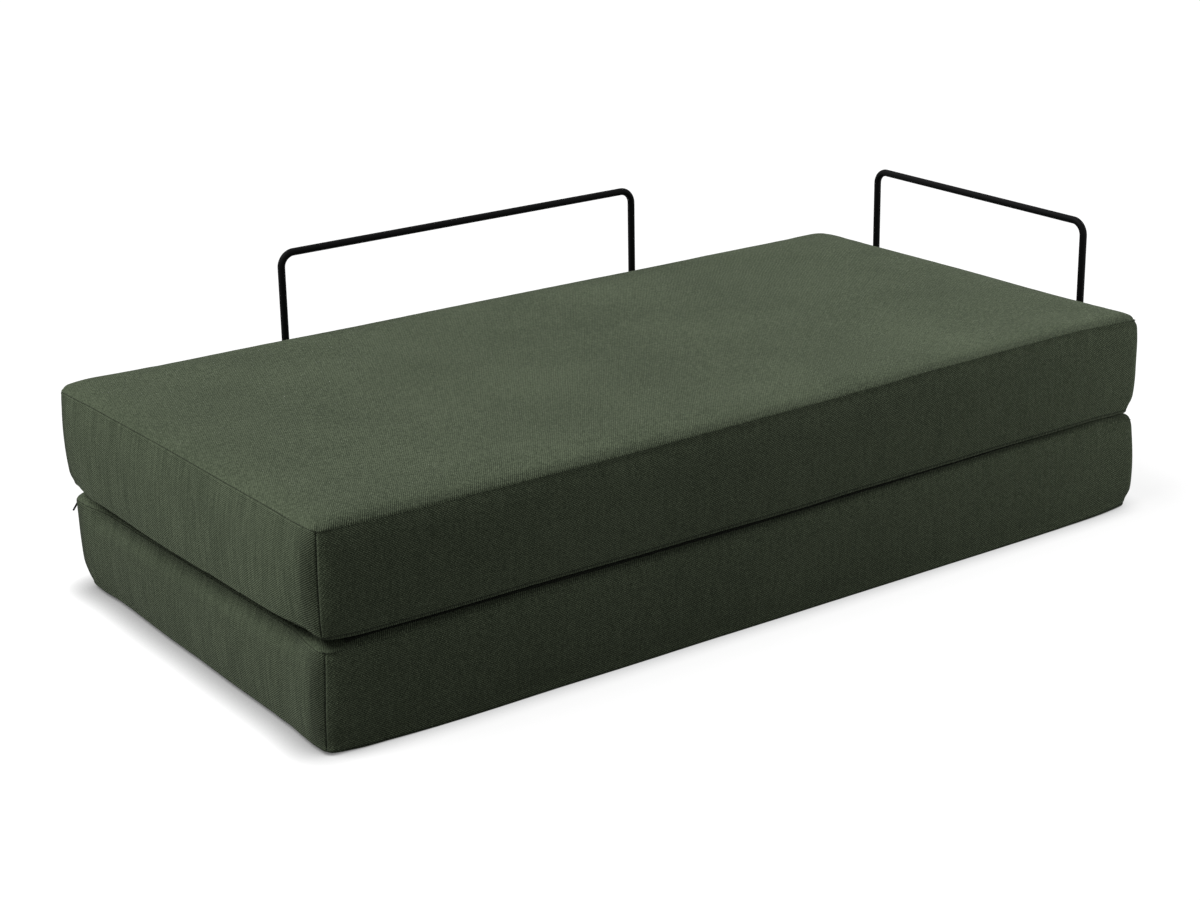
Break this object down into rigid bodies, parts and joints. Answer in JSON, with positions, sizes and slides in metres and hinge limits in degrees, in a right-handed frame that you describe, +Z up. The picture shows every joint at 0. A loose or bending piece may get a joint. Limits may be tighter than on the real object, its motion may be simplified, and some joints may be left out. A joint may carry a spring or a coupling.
{
  "type": "sofa bed",
  "caption": "Two thick boxed mattresses hinged along the front edge, folded as a seat or opened flat as a bed, with bent steel rails behind and beside them.",
  "frame": {"origin": "on the floor, in the middle of the lower mattress's underside", "axes": "+X to the right along the seat, +Y to the back, +Z up"},
  "size_m": [2.058, 1.058, 0.605],
  "materials": {
    "cover_fabric": "matte",
    "underside_fabric": "matte",
    "hinge_fabric": "matte",
    "padding": "matte",
    "foam": "matte",
    "zip_tape": "matte",
    "zip_teeth": "satin",
    "zip_metal": "satin",
    "rail_steel": "matte",
    "screw_steel": "satin",
    "pad_rubber": "matte"
  },
  "bodies": {
    "base": {"lower_top_panel": "cover_fabric", "lower_bottom_panel": "underside_fabric", "lower_front_band": "cover_fabric", "lower_rear_band": "cover_fabric", "lower_left_band": "cover_fabric", "lower_right_band": "cover_fabric", "lower_top_padding": "padding", "lower_bottom_padding": "padding", "lower_foam_core": "foam", "lower_zip_tape": "zip_tape", "lower_zip_teeth": "zip_teeth", "hinge_strip": "hinge_fabric"},
    "upper_mattress": {"upper_top_panel": "cover_fabric", "upper_bottom_panel": "cover_fabric", "upper_front_band": "cover_fabric", "upper_rear_band": "cover_fabric", "upper_left_band": "cover_fabric", "upper_right_band": "cover_fabric", "upper_top_padding": "padding", "upper_bottom_padding": "padding", "upper_foam_core": "foam", "upper_zip_tape": "zip_tape", "upper_zip_teeth": "zip_teeth"},
    "back_rail": {"back_rail_loop": "rail_steel", "back_rail_feet": "rail_steel", "back_rail_screws": "screw_steel", "back_rail_floor_pads": "pad_rubber"},
    "arm_rail": {"arm_rail_loop": "rail_steel", "arm_rail_feet": "rail_steel", "arm_rail_screws": "screw_steel", "arm_rail_floor_pads": "pad_rubber"},
    "lower_slider": {"lower_zip_slider": "zip_metal"},
    "lower_pull": {"lower_zip_pull": "zip_metal"},
    "upper_slider": {"upper_zip_slider": "zip_metal"},
    "upper_pull": {"upper_zip_pull": "zip_metal"}
  },
  "joints": [
    {"name": "upper_fold", "type": "hinge", "parent": "base", "child": "upper_mattress", "pos_m": [0, -0.5083, 0.212], "axis": [1, 0, 0], "range_deg": [0, 180], "deforming": ["hinge_strip"]},
    {"name": "back_rail_slide", "type": "slide", "parent": "base", "child": "back_rail", "axis": [0, 1, 0], "range_m": [0, 0.4]},
    {"name": "arm_rail_slide", "type": "slide", "parent": "base", "child": "arm_rail", "axis": [1, 0, 0], "range_m": [0, 0.4]},
    {"name": "lower_zip_slide", "type": "slide", "parent": "base", "child": "lower_slider", "axis": [1, 0, 0], "range_m": [0, 1.952]},
    {"name": "lower_pull_swing", "type": "hinge", "parent": "lower_slider", "child": "lower_pull", "pos_m": [-0.976, 0.50898, 0.18388], "axis": [1, 0, 0], "range_deg": [0, 120]},
    {"name": "upper_zip_slide", "type": "slide", "parent": "upper_mattress", "child": "upper_slider", "axis": [-1, 0, 0], "range_m": [0, 1.952]},
    {"name": "upper_pull_swing", "type": "hinge", "parent": "upper_slider", "child": "upper_pull", "pos_m": [0.976, 0.50886, 0.23017], "axis": [1, 0, 0], "range_deg": [0, 120]}
  ]
}
